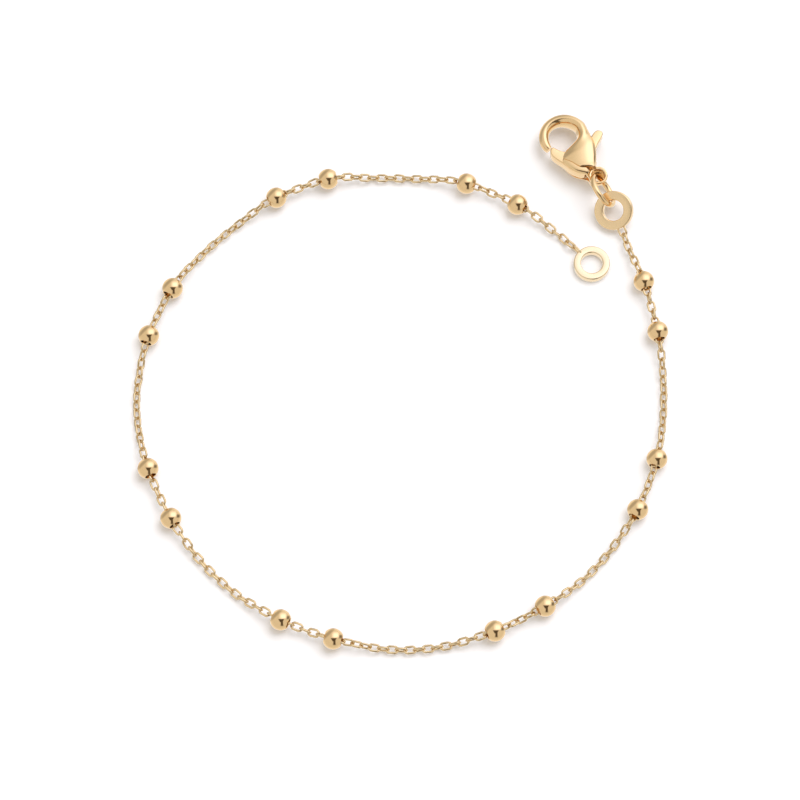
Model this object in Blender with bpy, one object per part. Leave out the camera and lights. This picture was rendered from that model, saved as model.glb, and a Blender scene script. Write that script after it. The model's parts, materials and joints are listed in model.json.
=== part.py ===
"""Bracelet of fine cable chain with sixteen drilled ball beads in eight pairs and a claw clasp.

Lies open and flat on the floor, seen from above as a loop with its clasp at the upper right.
Frame: +X to the right, +Y away, +Z up, floor at z = 0, origin under the middle of the loop.
"""

from collections import namedtuple
from math import acos, cos, pi, radians, sin

import bmesh
import bpy
from mathutils import Matrix, Vector

MM = 0.001

# Beads
BEAD_DIAMETER = 2.10 * MM
BEAD_BORE = 1.10 * MM
BEAD_RIM_ROUND = 0.06 * MM
BEAD_SIDES = 16
BEAD_ARC_STEPS = 7

# Chain: the wire links it stands for, and the tube of their width
LINK_PITCH = 0.88 * MM
LINK_WIRE = 0.20 * MM
LINK_LENGTH = LINK_PITCH + 2 * LINK_WIRE
LINK_WIDTH = 0.92 * MM
CHAIN_DIAMETER = 0.86 * MM
CHAIN_BEVEL_STEPS = 2
CHAIN_POINT_SPACING = 2.6 * CHAIN_DIAMETER
CHAIN_END_GAP = 0.12 * MM
FLOOR_GAP = 0.02 * MM
CHAIN_HOLD = 1.30 * MM
CHAIN_FALL = 4.00 * MM

# Route of the chain seen from above, from the end ring to the clasp ring, in millimetres.
# A "bead" point is a bead's centre, a "bend" point only bends the route.
RoutePoint = namedtuple("RoutePoint", "kind x y")
ROUTE = [
    RoutePoint("bend", 17.80, 14.30),
    RoutePoint("bend", 14.85, 16.80),
    RoutePoint("bead", 11.80, 19.00),
    RoutePoint("bead", 6.65, 21.30),
    RoutePoint("bend", 3.20, 21.90),
    RoutePoint("bend", -0.10, 22.10),
    RoutePoint("bend", -3.50, 22.10),
    RoutePoint("bead", -7.40, 21.80),
    RoutePoint("bead", -12.65, 19.75),
    RoutePoint("bend", -15.40, 17.85),
    RoutePoint("bend", -17.55, 16.15),
    RoutePoint("bend", -20.15, 13.65),
    RoutePoint("bead", -23.00, 9.90),
    RoutePoint("bead", -25.30, 4.80),
    RoutePoint("bend", -26.15, 1.00),
    RoutePoint("bend", -26.40, -2.05),
    RoutePoint("bend", -26.10, -5.30),
    RoutePoint("bead", -25.10, -9.30),
    RoutePoint("bead", -22.75, -14.50),
    RoutePoint("bend", -20.55, -17.80),
    RoutePoint("bend", -18.20, -20.45),
    RoutePoint("bend", -15.55, -22.70),
    RoutePoint("bead", -11.80, -25.00),
    RoutePoint("bead", -6.65, -26.95),
    RoutePoint("bend", -2.50, -27.75),
    RoutePoint("bend", 1.50, -27.90),
    RoutePoint("bend", 5.50, -27.30),
    RoutePoint("bead", 9.20, -26.15),
    RoutePoint("bead", 14.15, -23.60),
    RoutePoint("bend", 16.85, -21.70),
    RoutePoint("bend", 19.40, -19.25),
    RoutePoint("bend", 21.65, -16.40),
    RoutePoint("bead", 23.40, -13.60),
    RoutePoint("bead", 25.40, -8.30),
    RoutePoint("bend", 26.00, -5.10),
    RoutePoint("bend", 26.25, -1.60),
    RoutePoint("bend", 26.15, 1.90),
    RoutePoint("bead", 25.75, 5.25),
    RoutePoint("bead", 24.45, 10.65),
    RoutePoint("bend", 23.15, 14.00),
    RoutePoint("bend", 22.40, 16.25),
]
ROUTE_STEPS = 24

# End ring: flat on the floor beyond the route's first point, a chain link soldered upright
# into its rim
END_RING_TURN_DEG = -46.0
END_RING_DIAMETER = 3.65 * MM
END_RING_HOLE = 2.20 * MM
END_RING_THICKNESS = 0.75 * MM
END_RING_LINK_HEIGHT = 0.50 * MM

# Clasp ring: beyond the route's last point, leans on the jump ring, a chain link soldered to
# its rim in its own plane
CLASP_RING_TURN_DEG = 112.5
CLASP_RING_DIAMETER = 3.95 * MM
CLASP_RING_HOLE = 2.10 * MM
CLASP_RING_THICKNESS = 0.75 * MM
CLASP_RING_NORMAL = Vector((-0.28, -0.34, 0.90))
CLASP_RING_LINK_HEIGHT = 0.75 * MM

RING_EDGE_ROUND = 0.10 * MM
RING_SIDES = 36
LINK_OVERHANG = 0.28 * MM
LINK_SIDES = 12
LINK_WIRE_SIDES = 6

# Jump ring: round wire, upright and leaning, through the clasp's eye and the clasp ring, its
# centre beyond the clasp ring's by a reach seen from above
JUMP_RING_REACH = 2.18 * MM
JUMP_RING_REACH_TURN_DEG = 118.5
JUMP_RING_DIAMETER = 3.90 * MM
JUMP_RING_WIRE = 0.58 * MM
JUMP_RING_TURN_DEG = -66.0
JUMP_RING_LEAN_DEG = 58.0
JUMP_RING_SIDES = 32
JUMP_RING_WIRE_SIDES = 10

# Clasp, in its own frame: origin at the eye's centre, across, along towards the hook, and up;
# its eye beyond the jump ring's centre by a reach seen from above
CLASP_REACH = 1.86 * MM
CLASP_REACH_TURN_DEG = 106.5
CLASP_TURN_DEG = 25.0
CLASP_HEIGHT = 2.70 * MM
HOOK_OFFSET = -1.33 * MM
HOOK_RADIUS = 2.00 * MM
HOOK_WIDTH = 1.20 * MM
BODY_LENGTH = 5.29 * MM  # from the eye to the middle of the hook
BODY_WIDTH = 3.60 * MM
CLASP_SECTION_SIDES = 20
HOOK_SECTION_POWER = 2.3
BODY_SECTION_POWER = 3.0

# Hook from its tip round to the root: radius a share of HOOK_RADIUS, width of HOOK_WIDTH,
# height of CLASP_HEIGHT
HookStation = namedtuple("HookStation", "angle_deg radius width height")
HOOK = [
    HookStation(197, 1.00, 0.56, 0.42),
    HookStation(190, 1.00, 0.66, 0.49),
    HookStation(178, 1.00, 0.74, 0.55),
    HookStation(160, 1.00, 0.78, 0.60),
    HookStation(140, 1.00, 0.81, 0.64),
    HookStation(120, 0.98, 0.85, 0.67),
    HookStation(100, 0.96, 0.90, 0.70),
    HookStation(80, 0.94, 0.95, 0.73),
    HookStation(60, 0.93, 1.00, 0.76),
    HookStation(40, 0.94, 1.00, 0.79),
    HookStation(20, 0.98, 0.98, 0.82),
    HookStation(5, 1.02, 0.97, 0.85),
]

# Body from the hook's root down to the neck: along a share of BODY_LENGTH,
# left and right of BODY_WIDTH, height of CLASP_HEIGHT
BodyStation = namedtuple("BodyStation", "along left right height")
BODY = [
    BodyStation(0.93, 0.02, 0.37, 0.88),
    BodyStation(0.87, -0.12, 0.37, 0.91),
    BodyStation(0.80, -0.33, 0.37, 0.95),
    BodyStation(0.72, -0.53, 0.36, 0.98),
    BodyStation(0.64, -0.67, 0.34, 1.00),
    BodyStation(0.56, -0.74, 0.31, 1.00),
    BodyStation(0.48, -0.75, 0.27, 0.97),
    BodyStation(0.40, -0.71, 0.22, 0.93),
    BodyStation(0.32, -0.63, 0.16, 0.87),
    BodyStation(0.25, -0.48, 0.10, 0.78),
    BodyStation(0.19, -0.30, 0.08, 0.58),
    BodyStation(0.15, -0.20, 0.07, 0.36),
]

EYE_DIAMETER = 1.95 * MM
EYE_HOLE = 1.30 * MM
EYE_THICKNESS = 0.85 * MM
EYE_ROUND = 0.15 * MM
EYE_SIDES = 24

# Slot for the lever, through the body from side to side: shares of BODY_LENGTH
SlotCorner = namedtuple("SlotCorner", "across along")
SLOT_HEIGHT = 1.50 * MM
SLOT = [
    SlotCorner(-0.79, 0.02),
    SlotCorner(-0.19, 0.02),
    SlotCorner(-0.15, 0.23),
    SlotCorner(0.04, 0.23),
    SlotCorner(0.40, 0.35),
    SlotCorner(0.40, 0.90),
    SlotCorner(0.19, 0.82),
    SlotCorner(0.00, 0.75),
    SlotCorner(-0.10, 0.84),
    SlotCorner(-0.53, 0.84),
    SlotCorner(-0.79, 0.72),
]

# Lever: beak, hub and thumb tab in one plate, corners as shares of BODY_LENGTH
LEVER_THICKNESS = 1.30 * MM
LEVER_EDGE_ROUND = 0.12 * MM
LEVER_PIVOT_ACROSS = -0.208  # shares of BODY_LENGTH
LEVER_PIVOT_ALONG = 0.302
LeverCorner = namedtuple("LeverCorner", "across along")
LEVER = [
    LeverCorner(-0.540, 0.885),
    LeverCorner(-0.618, 0.862),
    LeverCorner(-0.632, 0.785),
    LeverCorner(-0.590, 0.630),
    LeverCorner(-0.520, 0.480),
    LeverCorner(-0.440, 0.300),
    LeverCorner(-0.340, 0.180),
    LeverCorner(-0.235, 0.100),
    LeverCorner(-0.205, 0.130),
    LeverCorner(-0.185, 0.240),
    LeverCorner(-0.080, 0.290),
    LeverCorner(0.070, 0.395),
    LeverCorner(0.210, 0.510),
    LeverCorner(0.270, 0.570),
    LeverCorner(0.370, 0.645),
    LeverCorner(0.442, 0.710),
    LeverCorner(0.455, 0.765),
    LeverCorner(0.412, 0.815),
    LeverCorner(0.343, 0.828),
    LeverCorner(0.250, 0.780),
    LeverCorner(0.060, 0.630),
    LeverCorner(-0.110, 0.560),
    LeverCorner(-0.230, 0.630),
    LeverCorner(-0.330, 0.735),
    LeverCorner(-0.440, 0.800),
]

PIN_DIAMETER = 0.50 * MM
PIN_LENGTH = 1.70 * MM
PIN_CLEARANCE = 0.05 * MM
PIN_SIDES = 16


def clear_scene():
    for item in list(bpy.data.objects):
        bpy.data.objects.remove(item, do_unlink=True)


def add_object(name, data):
    item = bpy.data.objects.new(name, data)
    bpy.context.scene.collection.objects.link(item)
    return item


def mesh_object(name, points, faces):
    """Object of the given points and faces, every face turned outwards."""
    mesh = bpy.data.meshes.new(name)
    mesh.from_pydata([tuple(p) for p in points], [], faces)
    work = bmesh.new()
    work.from_mesh(mesh)
    bmesh.ops.recalc_face_normals(work, faces=work.faces)
    work.to_mesh(mesh)
    work.free()
    return add_object(name, mesh)


def bake(item):
    """Replace the object's mesh and modifiers with the evaluated mesh."""
    graph = bpy.context.evaluated_depsgraph_get()
    mesh = bpy.data.meshes.new_from_object(item.evaluated_get(graph))
    item.modifiers.clear()
    item.data = mesh


def combine(item, other, operation):
    """Join or cut the other solid into the item, and drop the other."""
    step = item.modifiers.new(operation, "BOOLEAN")
    step.operation = operation
    step.solver = "EXACT"
    step.object = other
    bake(item)
    bpy.data.objects.remove(other, do_unlink=True)


def loft(name, sections):
    """Closed solid through equal rings of points, both ends capped."""
    sides = len(sections[0])
    points = [p for section in sections for p in section]
    faces = []
    for ring in range(len(sections) - 1):
        start = ring * sides
        for side in range(sides):
            after = (side + 1) % sides
            faces.append((start + side, start + after, start + sides + after, start + sides + side))
    faces.append(tuple(range(sides)))
    faces.append(tuple(range(len(points) - sides, len(points))))
    return mesh_object(name, points, faces)


def revolve(name, profile, sides, frame):
    """Solid of revolution of a closed (radius, height) profile about the frame's Z axis."""
    points = []
    faces = []
    count = len(profile)
    for step in range(sides):
        angle = 2 * pi * step / sides
        for radius, height in profile:
            points.append(frame @ Vector((radius * cos(angle), radius * sin(angle), height)))
    for step in range(sides):
        here = step * count
        there = (step + 1) % sides * count
        for row in range(count):
            after = (row + 1) % count
            faces.append((here + row, there + row, there + after, here + after))
    return mesh_object(name, points, faces)


def prism(name, corners, bottom, top, frame):
    """Upright prism of a flat outline between two heights in a frame."""
    low = [frame @ Vector((x, y, bottom)) for x, y in corners]
    high = [frame @ Vector((x, y, top)) for x, y in corners]
    return loft(name, [low, high])


def frame_at(centre, along, normal):
    """Frame with X along a direction and Z on the normal, at a centre."""
    z = normal.normalized()
    y = z.cross(along).normalized()
    x = y.cross(z)
    turn = Matrix((x, y, z)).transposed().to_4x4()
    return Matrix.Translation(centre) @ turn


def ring_profile(outer, inner, thickness, edge):
    """Closed profile of a flat ring with its four edges cut at 45 degrees."""
    high = thickness / 2
    return [
        (inner / 2, high - edge),
        (inner / 2 + edge, high),
        (outer / 2 - edge, high),
        (outer / 2, high - edge),
        (outer / 2, edge - high),
        (outer / 2 - edge, -high),
        (inner / 2 + edge, -high),
        (inner / 2, edge - high),
    ]


def wire_ring(name, radius, wire, sides, wire_sides, frame):
    profile = []
    for step in range(wire_sides):
        angle = 2 * pi * step / wire_sides
        profile.append((radius + wire / 2 * cos(angle), wire / 2 * sin(angle)))
    return revolve(name, profile, sides, frame)


def chain_link(name, frame):
    """One oval wire link, its length along the frame's X and its plane on the frame's Z."""
    reach = (LINK_LENGTH - LINK_WIRE) / 2
    half = (LINK_WIDTH - LINK_WIRE) / 2
    points = []
    faces = []
    for step in range(LINK_SIDES):
        angle = 2 * pi * step / LINK_SIDES
        outward = Vector((cos(angle), sin(angle), 0))
        middle = Vector((outward.x * half, outward.y * half, 0))
        middle.x += (reach - half) * (1 if outward.x >= 0 else -1)
        for turn in range(LINK_WIRE_SIDES):
            around = 2 * pi * turn / LINK_WIRE_SIDES
            spot = middle + outward * LINK_WIRE / 2 * cos(around)
            spot.z += LINK_WIRE / 2 * sin(around)
            points.append(frame @ spot)
    for step in range(LINK_SIDES):
        here = step * LINK_WIRE_SIDES
        there = (step + 1) % LINK_SIDES * LINK_WIRE_SIDES
        for turn in range(LINK_WIRE_SIDES):
            after = (turn + 1) % LINK_WIRE_SIDES
            faces.append((here + turn, there + turn, there + after, here + after))
    return mesh_object(name, points, faces)


def route_point(row):
    return Vector((ROUTE[row].x * MM, ROUTE[row].y * MM, 0))


def smooth_route():
    """Route through every point (centripetal Catmull-Rom), and the distance at each bead."""
    spots = [route_point(row) for row in range(len(ROUTE))]
    spots = [2 * spots[0] - spots[1]] + spots + [2 * spots[-1] - spots[-2]]
    line = []
    bead_rows = []
    for row in range(1, len(spots) - 2):
        p0, p1, p2, p3 = spots[row - 1 : row + 3]
        t1 = (p1 - p0).length ** 0.5
        t2 = t1 + (p2 - p1).length ** 0.5
        t3 = t2 + (p3 - p2).length ** 0.5
        if ROUTE[row - 1].kind == "bead":
            bead_rows.append(len(line))
        for step in range(ROUTE_STEPS):
            t = t1 + (t2 - t1) * step / ROUTE_STEPS
            a1 = p0 * ((t1 - t) / t1) + p1 * (t / t1)
            a2 = p1 * ((t2 - t) / (t2 - t1)) + p2 * ((t - t1) / (t2 - t1))
            a3 = p2 * ((t3 - t) / (t3 - t2)) + p3 * ((t - t2) / (t3 - t2))
            b1 = a1 * ((t2 - t) / t2) + a2 * (t / t2)
            b2 = a2 * ((t3 - t) / (t3 - t1)) + a3 * ((t - t1) / (t3 - t1))
            line.append(b1 * ((t2 - t) / (t2 - t1)) + b2 * ((t - t1) / (t2 - t1)))
    line.append(spots[-2])
    distances = [0.0]
    for before, after in zip(line, line[1:]):
        distances.append(distances[-1] + (after - before).length)
    return line, distances, [distances[row] for row in bead_rows]


def held_heights(distances, bead_distances):
    """Places that hold the chain up: distance, height there, and length held level."""
    held = [(distance, BEAD_DIAMETER / 2, CHAIN_HOLD) for distance in bead_distances]
    held.append((distances[0], END_RING_LINK_HEIGHT, 0))
    held.append((distances[-1], CLASP_RING_LINK_HEIGHT, 0))
    return held


def chain_height(distance, held):
    """Height of the chain's middle: on the floor, but for where something holds it up."""
    low = CHAIN_DIAMETER / 2 + FLOOR_GAP
    height = low
    for place, high, level in held:
        share = min(1.0, max(0.0, (abs(distance - place) - level) / CHAIN_FALL))
        height = max(height, high + (low - high) * share * share * (3 - 2 * share))
    return height


def point_on(line, distances, distance, held):
    row = 0
    while row < len(distances) - 2 and distances[row + 1] < distance:
        row += 1
    share = (distance - distances[row]) / (distances[row + 1] - distances[row])
    spot = line[row].lerp(line[row + 1], share)
    spot.z = chain_height(distance, held)
    return spot


def make_beads(line, distances, bead_distances, held):
    radius = BEAD_DIAMETER / 2
    bore = BEAD_BORE / 2
    rim = bore + BEAD_RIM_ROUND
    half = (radius * radius - rim * rim) ** 0.5
    start = acos(rim / radius)
    profile = [(bore, half - BEAD_RIM_ROUND)]
    for step in range(BEAD_ARC_STEPS + 1):
        angle = start - 2 * start * step / BEAD_ARC_STEPS
        profile.append((radius * cos(angle), radius * sin(angle)))
    profile.append((bore, BEAD_RIM_ROUND - half))
    for number, distance in enumerate(bead_distances, start=1):
        centre = point_on(line, distances, distance, held)
        ahead = point_on(line, distances, distance + radius, held)
        behind = point_on(line, distances, distance - radius, held)
        frame = frame_at(centre, Vector((0, 0, 1)), ahead - behind)
        revolve(f"bead_{number:02d}", profile, BEAD_SIDES, frame)


def make_chain(line, distances, held):
    """Tube of the chain's width through every bead, with gaps at the soldered links."""
    start = LINK_LENGTH / 2 + CHAIN_END_GAP
    length = distances[-1] - 2 * start
    count = round(length / CHAIN_POINT_SPACING)
    data = bpy.data.curves.new("chain", "CURVE")
    data.dimensions = "3D"
    data.bevel_depth = CHAIN_DIAMETER / 2
    data.bevel_resolution = CHAIN_BEVEL_STEPS
    data.use_fill_caps = True
    spline = data.splines.new("POLY")
    spline.points.add(count)
    for step in range(count + 1):
        distance = start + length * step / count
        spot = point_on(line, distances, distance, held)
        spline.points[step].co = (*spot, 1)
    add_object("chain", data)


def heading(turn_deg):
    """Level unit vector at an angle from +X."""
    return Vector((cos(radians(turn_deg)), sin(radians(turn_deg)), 0))


def clasp_ring_centre():
    """Centre of the clasp ring, its lowest edge on the floor, its link at the route's end."""
    normal = CLASP_RING_NORMAL.normalized()
    along = heading(CLASP_RING_TURN_DEG)
    rise = -along.dot(normal) / normal.z
    level = (CLASP_RING_DIAMETER / 2 + LINK_OVERHANG) / (1 + rise * rise) ** 0.5
    slope = Vector((normal.x, normal.y)).length
    height = CLASP_RING_DIAMETER / 2 * slope + CLASP_RING_THICKNESS / 2 * normal.z + FLOOR_GAP
    return route_point(-1) + along * level + Vector((0, 0, height))


def jump_ring_centre():
    """Centre of the jump ring, its lower strand on the floor."""
    spot = clasp_ring_centre() + heading(JUMP_RING_REACH_TURN_DEG) * JUMP_RING_REACH
    radius = (JUMP_RING_DIAMETER - JUMP_RING_WIRE) / 2
    spot.z = radius * sin(radians(JUMP_RING_LEAN_DEG)) + JUMP_RING_WIRE / 2 + FLOOR_GAP
    return spot


def make_end_ring():
    reach = END_RING_DIAMETER / 2 + LINK_OVERHANG
    outward = -heading(END_RING_TURN_DEG)
    centre = route_point(0) - outward * reach + Vector((0, 0, END_RING_THICKNESS / 2))
    frame = Matrix.Translation(centre)
    profile = ring_profile(END_RING_DIAMETER, END_RING_HOLE, END_RING_THICKNESS, RING_EDGE_ROUND)
    ring = revolve("end_ring", profile, RING_SIDES, frame)
    middle = centre + outward * reach
    middle.z = END_RING_LINK_HEIGHT
    side = outward.cross(Vector((0, 0, 1)))
    link = chain_link("link", frame_at(middle, outward, side))
    combine(ring, link, "UNION")


def make_clasp_ring():
    normal = CLASP_RING_NORMAL.normalized()
    toward = -heading(CLASP_RING_TURN_DEG)
    toward.z = -toward.dot(normal) / normal.z
    frame = frame_at(clasp_ring_centre(), toward, normal)
    profile = ring_profile(CLASP_RING_DIAMETER, CLASP_RING_HOLE, CLASP_RING_THICKNESS, RING_EDGE_ROUND)
    ring = revolve("clasp_ring", profile, RING_SIDES, frame)
    reach = CLASP_RING_DIAMETER / 2 + LINK_OVERHANG
    link = chain_link("link", frame @ Matrix.Translation((reach, 0, 0)))
    combine(ring, link, "UNION")


def make_jump_ring():
    along = heading(JUMP_RING_TURN_DEG)
    lean = radians(JUMP_RING_LEAN_DEG)
    flat = Vector((0, 0, 1)).cross(along)
    upward = flat * -cos(lean) + Vector((0, 0, sin(lean)))
    frame = frame_at(jump_ring_centre(), along, along.cross(upward))
    radius = (JUMP_RING_DIAMETER - JUMP_RING_WIRE) / 2
    wire_ring("jump_ring", radius, JUMP_RING_WIRE, JUMP_RING_SIDES, JUMP_RING_WIRE_SIDES, frame)


def clasp_frame():
    eye = jump_ring_centre() + heading(CLASP_REACH_TURN_DEG) * CLASP_REACH
    place = Matrix.Translation((eye.x, eye.y, CLASP_HEIGHT / 2))
    return place @ Matrix.Rotation(radians(CLASP_TURN_DEG), 4, "Z")


def clasp_section(middle, direction, width, height, power, frame):
    """Ring of points of a rounded section, flat across a direction and upright."""
    ring = []
    for step in range(CLASP_SECTION_SIDES):
        angle = 2 * pi * (step + 0.5) / CLASP_SECTION_SIDES
        across = abs(cos(angle)) ** (2 / power) * width / 2
        upright = abs(sin(angle)) ** (2 / power) * height / 2
        across *= 1 if cos(angle) > 0 else -1
        upright *= 1 if sin(angle) > 0 else -1
        spot = middle + direction * across
        ring.append(frame @ Vector((spot.x, spot.y, upright)))
    return ring


def make_clasp_body():
    frame = clasp_frame()
    hook_centre = Vector((HOOK_OFFSET, BODY_LENGTH))
    sections = []
    for station in HOOK:
        angle = radians(station.angle_deg)
        direction = Vector((cos(angle), sin(angle)))
        middle = hook_centre + direction * HOOK_RADIUS * station.radius
        width = HOOK_WIDTH * station.width
        height = CLASP_HEIGHT * station.height
        section = clasp_section(middle, direction, width, height, HOOK_SECTION_POWER, frame)
        sections.append(section)
    for station in BODY:
        across = (station.left + station.right) / 2 * BODY_WIDTH
        middle = Vector((across, station.along * BODY_LENGTH))
        width = (station.right - station.left) * BODY_WIDTH
        height = CLASP_HEIGHT * station.height
        section = clasp_section(middle, Vector((1, 0)), width, height, BODY_SECTION_POWER, frame)
        sections.append(section)
    body = loft("clasp_body", sections)
    slot = [(corner.across * BODY_LENGTH, corner.along * BODY_LENGTH) for corner in SLOT]
    combine(body, prism("slot", slot, -SLOT_HEIGHT / 2, SLOT_HEIGHT / 2, frame), "DIFFERENCE")
    profile = ring_profile(EYE_DIAMETER, EYE_HOLE, EYE_THICKNESS, EYE_ROUND)
    combine(body, revolve("eye", profile, EYE_SIDES, frame), "UNION")
    bore = pin_solid("bore", PIN_DIAMETER + 2 * PIN_CLEARANCE, PIN_LENGTH + 2 * PIN_CLEARANCE)
    combine(body, bore, "DIFFERENCE")


def make_clasp_lever():
    frame = clasp_frame()
    half = LEVER_THICKNESS / 2
    corners = [Vector((corner.across, corner.along)) * BODY_LENGTH for corner in LEVER]
    inner = [inset(corners, row, LEVER_EDGE_ROUND) for row in range(len(corners))]
    edge = half - LEVER_EDGE_ROUND
    rows = [(inner, -half), (corners, -edge), (corners, edge), (inner, half)]
    sections = [[frame @ Vector((p.x, p.y, height)) for p in outline] for outline, height in rows]
    lever = loft("clasp_lever", sections)
    bore = pin_solid("bore", PIN_DIAMETER + 2 * PIN_CLEARANCE, 2 * LEVER_THICKNESS)
    combine(lever, bore, "DIFFERENCE")


def inset(corners, row, distance):
    """Corner moved inwards by a distance from both of its edges."""
    before = corners[row - 1]
    here = corners[row]
    after = corners[(row + 1) % len(corners)]
    first = (here - before).normalized()
    second = (after - here).normalized()
    normal = Vector((-first.y - second.y, first.x + second.x)).normalized()
    lean = normal.dot(Vector((-first.y, first.x)))
    return here + normal * distance / lean


def pin_solid(name, diameter, length):
    pivot = Vector((LEVER_PIVOT_ACROSS, LEVER_PIVOT_ALONG, 0)) * BODY_LENGTH
    frame = clasp_frame() @ Matrix.Translation(pivot)
    circle = []
    for step in range(PIN_SIDES):
        angle = 2 * pi * step / PIN_SIDES
        circle.append((diameter / 2 * cos(angle), diameter / 2 * sin(angle)))
    return prism(name, circle, -length / 2, length / 2, frame)


def main():
    clear_scene()
    line, distances, bead_distances = smooth_route()
    held = held_heights(distances, bead_distances)
    make_beads(line, distances, bead_distances, held)
    make_chain(line, distances, held)
    make_end_ring()
    make_clasp_ring()
    make_jump_ring()
    make_clasp_body()
    make_clasp_lever()
    pin_solid("clasp_pin", PIN_DIAMETER, PIN_LENGTH)


main()
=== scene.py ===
"""Looks of a fine gold bracelet: drilled beads on a cable chain, two rings and a lobster clasp."""

import json
from collections import namedtuple
from math import acos, cos, pi, radians, sin

import bmesh
import bpy
from mathutils import Matrix, Vector

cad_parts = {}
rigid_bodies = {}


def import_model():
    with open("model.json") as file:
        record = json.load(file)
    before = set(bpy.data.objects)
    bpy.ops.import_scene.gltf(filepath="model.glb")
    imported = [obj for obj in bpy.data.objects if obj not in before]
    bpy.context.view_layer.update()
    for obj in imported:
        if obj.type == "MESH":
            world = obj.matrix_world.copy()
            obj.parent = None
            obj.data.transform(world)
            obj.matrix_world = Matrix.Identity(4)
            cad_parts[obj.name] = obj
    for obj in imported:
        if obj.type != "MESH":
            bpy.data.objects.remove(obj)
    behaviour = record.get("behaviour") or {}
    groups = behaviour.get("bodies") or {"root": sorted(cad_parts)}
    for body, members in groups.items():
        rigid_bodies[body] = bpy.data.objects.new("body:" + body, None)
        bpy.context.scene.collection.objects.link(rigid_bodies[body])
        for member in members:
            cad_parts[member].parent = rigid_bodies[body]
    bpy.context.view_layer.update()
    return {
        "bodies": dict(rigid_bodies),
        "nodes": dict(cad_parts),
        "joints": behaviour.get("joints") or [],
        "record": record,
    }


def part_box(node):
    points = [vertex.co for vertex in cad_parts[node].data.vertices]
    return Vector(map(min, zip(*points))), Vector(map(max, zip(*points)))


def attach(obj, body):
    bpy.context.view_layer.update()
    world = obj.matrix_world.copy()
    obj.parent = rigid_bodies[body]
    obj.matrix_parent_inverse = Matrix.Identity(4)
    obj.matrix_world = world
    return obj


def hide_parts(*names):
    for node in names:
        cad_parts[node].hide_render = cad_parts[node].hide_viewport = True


MM = 0.001

# Camera: looks along +Y and down, its field the width seen at the target
CAMERA_TARGET = Vector((-0.0001, -0.0017, 0))
CAMERA_DISTANCE = 0.450
CAMERA_ELEVATION_DEG = 70.0
CAMERA_FIELD = 0.080
CAMERA_SENSOR_MM = 36.0
CAMERA_CLIP = (0.01, 10.0)

FLOOR_SIZE = 3.0
# Card tint: warm, seen only in the card's shadows, where it is painted warm bounce light from the gold;
# the lit card clips to white
BACKDROP_TINT_PAINTED_BOUNCE = (1.0, 0.968, 0.93, 1)
BACKDROP_GLOW = 0.08
# Lamp that draws the shadows, given by the direction it stands in
LAMP_FROM = Vector((0.32, 0.38, 1.0))
LAMP_STRENGTH = 0.88
LAMP_SPREAD_DEG = 40.0

# Studio, placed by where it mirrors on a ball (across and up, from -1 to 1); pairs are the two
# ends of a soft edge
TENT_LIGHT = (1.0, 1.0, 1.0)
TENT_STRENGTH = 0.82
BOX_LIGHT = (0.86, 0.95, 1.28)
BOX_LEFT = (-0.22, 0.20)
BOX_RIGHT = (0.68, 0.36)
BOX_LOW = (0.04, 0.28)
BOX_HIGH = (0.82, 0.36)
STAND_TINT = (0.05, 0.03, 0.012, 1)
STAND_DARK = 0.92
BAR_MIDDLE = 0.07
BAR_TAPER = 0.6
BAR_SIDE = (0.28, 0.18)
BAR_HIGH = (0.12, 0.05)
BAR_LOW = (-0.28, -0.16)
STEM_MIDDLE = 0.13
STEM_SIDE = (0.15, 0.06)
STEM_HIGH = (0.0, -0.1)
STEM_LOW = (-0.62, -0.50)
FOOT_SIDE = (0.22, 0.08)
FOOT_HIGH = (-0.34, -0.46)
FOOT_LOW = (-0.64, -0.54)
FOOT_DARK = 0.5
SEAM_INNER = (0.42, 0.62)
SEAM_OUTER = (0.88, 0.74)
SEAM_DARK = 0.38
GAP_ACROSS = 0.72
GAP_UP = 0.20
GAP_SIDE = (0.24, 0.06)
GAP_DARK = 0.75
# Paper, a pale band round a ball's rim, by how much the ball's skin faces the camera there: 1 in
# its middle, 0 at its rim
PAPER_DEPTH = (0.72, 0.35)
PAPER_GLOW = 0.22

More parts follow.
